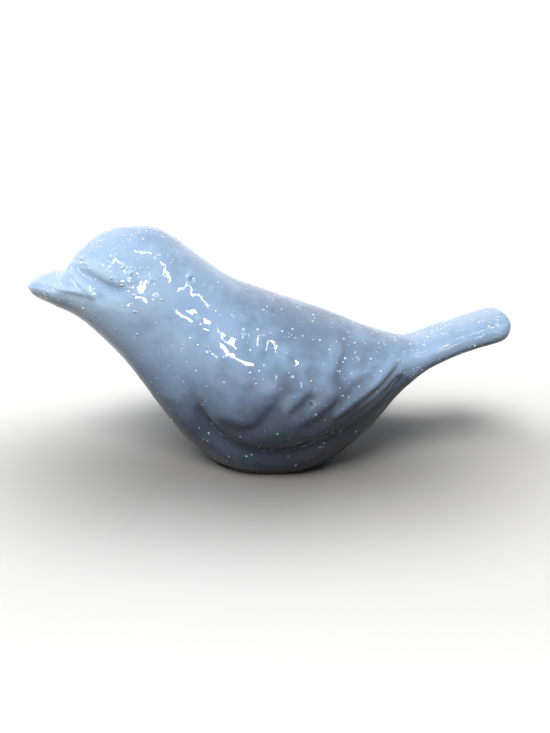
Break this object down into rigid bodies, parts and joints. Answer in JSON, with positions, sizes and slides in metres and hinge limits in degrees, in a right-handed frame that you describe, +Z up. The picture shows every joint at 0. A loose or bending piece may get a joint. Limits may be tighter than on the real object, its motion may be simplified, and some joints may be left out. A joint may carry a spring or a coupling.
{
  "type": "ceramic bird figurine",
  "caption": "Glossy blue ceramic songbird figurine: a hollow cast body with beak, tail, feathered wings and eye pellets luted on, standing on a flat bare-clay foot.",
  "frame": {"origin": "in the plane the foot stands on, below the middle of the bird's length and width", "axes": "-X towards the beak, +X towards the tail, -Y to the bird's left flank, +Z up"},
  "size_m": [0.1264, 0.053, 0.0653],
  "materials": {
    "blue_glaze": "gloss pale blue glaze with small raised white specks and a few burst bubbles",
    "bare_clay": "dry unglazed buff clay"
  },
  "bodies": {
    "root": {"body_shell": "blue_glaze", "beak": "blue_glaze", "tail": "blue_glaze", "left_wing": "blue_glaze", "right_wing": "blue_glaze", "left_eye": "blue_glaze", "right_eye": "blue_glaze", "foot_ring": "bare_clay"}
  },
  "joints": []
}
